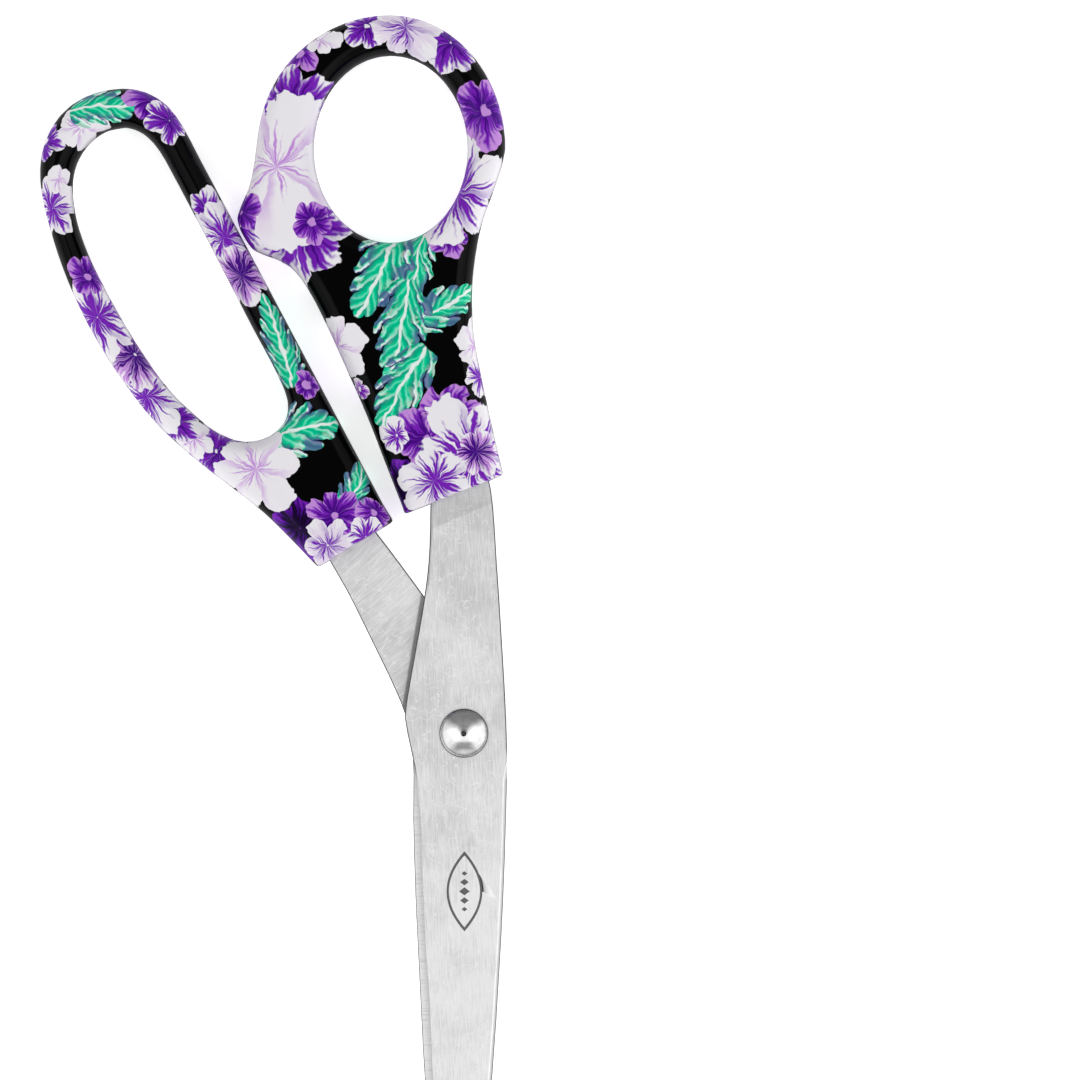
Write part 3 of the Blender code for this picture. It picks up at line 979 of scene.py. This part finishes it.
def make_handles():
    thumb = printed_plastic("thumb_handle_print", THUMB_PRINT)
    finger = printed_plastic("finger_handle_print", FINGER_PRINT)
    skin = moulded_skin("thumb_handle")
    add_piece(skin, "thumb_handle_skin", THUMB, "thumb_handle", thumb)
    skin = moulded_skin("finger_handle")
    add_piece(skin, "finger_handle_skin", FINGER, "finger_handle", finger)


def make_blades():
    upper = ground_steel("thumb_blade_steel", 2.0, upper_details, spine_shade_fade)
    lower = ground_steel("finger_blade_steel", -50.0, lower_details)
    blade = ground_blade("thumb_blade", engraver())
    add_piece(blade, "thumb_blade_ground", THUMB, "thumb_blade", upper)
    blade = ground_blade("finger_blade")
    add_piece(blade, "finger_blade_ground", FINGER, "finger_blade", lower)


def make_pivot():
    polished = plain_metal("polished_steel", colour("f2f2f2"), colour("d8d8d9"), 0.12, 0.5, rivet_painted_shade)
    turned = plain_metal("turned_steel", colour("c9c9cb"), colour("adadb0"), 0.30)
    spring = plain_metal("blued_spring_steel", colour("b8b8bc"), colour("8e8e94"), 0.28)
    brass = plain_metal("turned_brass", colour("d9b465"), colour("b38b42"), 0.28)
    add_piece(rivet_mesh(), "rivet_polished", THUMB, "pivot_rivet", polished)
    burr = ring_mesh("rivet_burr", 0.15)
    add_piece(burr, "rivet_burr_turned", THUMB, "rivet_burr", turned)
    washer = ring_mesh("spring_washer", 0.05, 0.08, 3)
    add_piece(washer, "spring_washer_waved", THUMB, "spring_washer", spring)
    washer = ring_mesh("thrust_washer", 0.05)
    add_piece(washer, "thrust_washer_turned", THUMB, "thrust_washer", brass)


# ---------------------------------------------------------------------------------------------
# Studio
# ---------------------------------------------------------------------------------------------

# How bright the tent's parts are, and how much more light comes from straight above
LEFT_LIGHT = (1.05, 1.05, 1.05)
RIGHT_LIGHT = (1.30, 1.30, 1.30)
FRONT_LIGHT = (0.75, 0.75, 0.75)
BACK_LIGHT = (0.22, 0.22, 0.22)
ROOF_LIGHT = (0.10, 0.10, 0.10)
GAP_LIGHT = (0.30, 0.30, 0.30)
CROWN_GAIN = 0.40

# What the camera sees: a square of this width, about this centre, in a plane at this height
VIEW_CENTRE = (14.06 * MM, 35.7 * MM)
VIEW_WIDTH = 199.8 * MM
VIEW_PLANE = 6 * MM
LENS = 135.0
SENSOR = 36.0

FLOOR_HALF_WIDTH = 3000 * MM
FLOOR_DROP = 0.1 * MM
FLOOR_GLOW = 0.60


def make_camera():
    data = bpy.data.cameras.new("camera")
    data.lens = LENS
    data.sensor_width = SENSOR
    data.clip_start = 10 * MM
    camera = bpy.data.objects.new("camera", data)
    camera.location = (*VIEW_CENTRE, VIEW_PLANE + VIEW_WIDTH * LENS / SENSOR)
    bpy.context.scene.collection.objects.link(camera)
    bpy.context.scene.camera = camera


def make_floor():
    bm = bmesh.new()
    bmesh.ops.create_grid(bm, x_segments=1, y_segments=1, size=FLOOR_HALF_WIDTH)
    mesh = bpy.data.meshes.new("floor")
    bm.to_mesh(mesh)
    bm.free()
    floor = bpy.data.objects.new("floor", mesh)
    floor.location.z = -FLOOR_DROP
    bpy.context.scene.collection.objects.link(floor)
    made, _, shader = new_material("paper")
    shader.inputs["Base Color"].default_value = (0.90, 0.90, 0.90, 1.0)
    shader.inputs["Emission Color"].default_value = (1.0, 1.0, 1.0, 1.0)
    shader.inputs["Emission Strength"].default_value = FLOOR_GLOW
    shader.inputs["Roughness"].default_value = 0.9
    shader.inputs["Specular IOR Level"].default_value = 0.1
    mesh.materials.append(made)


def make_studio():
    """A tent with bright walls on both sides, a dim back, a gap in front and a dark hole in the roof."""
    world = bpy.data.worlds.new("studio")
    bpy.context.scene.world = world
    world.use_nodes = True
    tree = world.node_tree
    node = tree.nodes.new("ShaderNodeTexCoord")
    x, y, z = split(Field(tree, node.outputs["Generated"]))
    base = blend(tree, ramp(y, -0.05, 0.35), FRONT_LIGHT, BACK_LIGHT)
    side = maths(tree, "ABSOLUTE", x)
    wall = ramp(side, 0.08, 0.42) * ramp(y - side * 0.6, 0.36, -0.30) * ramp(y + side * 0.9, -0.42, 0.24)
    walls = blend(tree, ramp(x, -0.2, 0.2), LEFT_LIGHT, RIGHT_LIGHT)
    light = blend(tree, wall, base, walls)
    gap = ramp(side, 0.60, 0.25) * ramp(y, -0.92, -0.80) * ramp(y, -0.44, -0.58)
    light = blend(tree, gap, light, GAP_LIGHT)
    from_roof = maths(tree, "SQRT", x * x + (y - 0.05) * (y - 0.05))
    light = blend(tree, ramp(from_roof, 0.15, 0.26) * ramp(z, 0.02, 0.22), ROOF_LIGHT, light)
    feed(tree, tree.nodes["Background"].inputs["Color"], light)
    feed(tree, tree.nodes["Background"].inputs["Strength"], ramp(z, 0.50, 0.85) * CROWN_GAIN + 1.0)
    bpy.context.scene.view_settings.view_transform = "Standard"


make_camera()
make_floor()
make_studio()
make_handles()
make_blades()
make_pivot()
